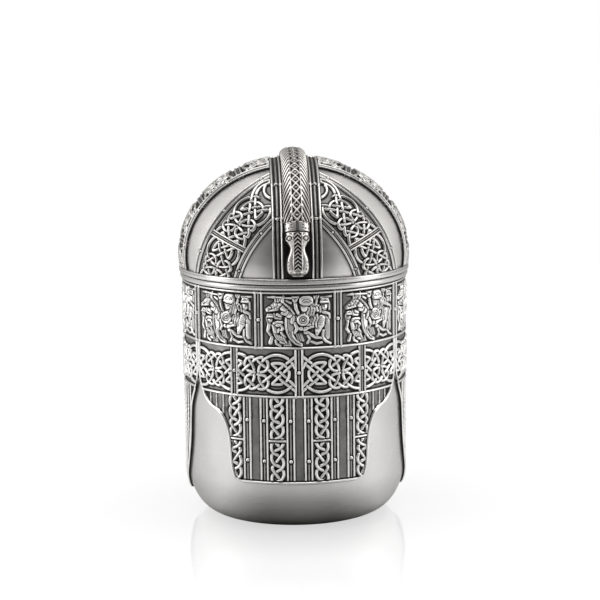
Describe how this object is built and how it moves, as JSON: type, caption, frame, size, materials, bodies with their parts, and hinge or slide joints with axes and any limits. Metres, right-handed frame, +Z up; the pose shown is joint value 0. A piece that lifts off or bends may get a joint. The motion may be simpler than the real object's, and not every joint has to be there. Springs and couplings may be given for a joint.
{
  "type": "lidded pewter canister",
  "caption": "Upright covered canister in antiqued pewter with a lift-off domed lid, crest with beast heads, relief bands and a plug-type inner lid.",
  "frame": {"origin": "centre of the flat face that the canister stands on", "axes": "+Z up along the canister's axis; -Y is the front, where the crest ends in the front dragon head; +X to the right seen from the front"},
  "size_m": [0.0932, 0.0976, 0.147],
  "materials": {
    "satin_pewter": "satin, fine horizontal brushing",
    "dome_pewter": "satin, soft",
    "turned_pewter": "turned and lightly polished",
    "antiqued_pewter": "polished relief over a near-black patina",
    "antiqued_dome_pewter": "polished relief over a near-black patina",
    "crest_pewter": "bright, with dark engraved lines",
    "silicone": "matt, translucent white"
  },
  "bodies": {
    "vessel": {"vessel_wall": "satin_pewter", "base_disc": "satin_pewter", "mouth_ring": "turned_pewter", "mouth_collar": "satin_pewter", "front_frieze": "antiqued_pewter", "front_interlace": "antiqued_pewter", "front_apron": "antiqued_pewter", "right_frieze": "antiqued_pewter", "right_interlace": "antiqued_pewter", "right_apron": "antiqued_pewter", "left_frieze": "antiqued_pewter", "left_interlace": "antiqued_pewter", "left_apron": "antiqued_pewter"},
    "lid_gasket_ring": {"lid_gasket": "silicone"},
    "lid": {"lid_dome": "dome_pewter", "lid_rim": "turned_pewter", "front_left_band": "antiqued_dome_pewter", "front_right_band": "antiqued_dome_pewter", "back_left_band": "antiqued_dome_pewter", "back_right_band": "antiqued_dome_pewter", "left_band": "antiqued_dome_pewter", "right_band": "antiqued_dome_pewter", "left_crest_strip": "antiqued_dome_pewter", "right_crest_strip": "antiqued_dome_pewter", "crest": "crest_pewter", "front_dragon_head": "crest_pewter", "back_dragon_head": "crest_pewter"},
    "inner_lid_body": {"inner_lid": "satin_pewter", "inner_lid_knob": "turned_pewter", "inner_lid_seal": "silicone"}
  },
  "joints": [
    {"name": "lid_lift", "type": "slide", "parent": "vessel", "child": "lid_gasket_ring", "axis": [0, 0, 1], "range_m": [0, 0.1]},
    {"name": "lid_turn", "type": "hinge", "parent": "lid_gasket_ring", "child": "lid", "pos_m": [0, 0, 0.1], "axis": [0, 0, 1], "continuous": true},
    {"name": "inner_lid_lift", "type": "slide", "parent": "vessel", "child": "inner_lid_body", "axis": [0, 0, 1], "range_m": [0, 0.045]}
  ],
  "couplings": [
    {"joint": "inner_lid_lift", "follows": "lid_lift", "ratio": 0.45}
  ]
}
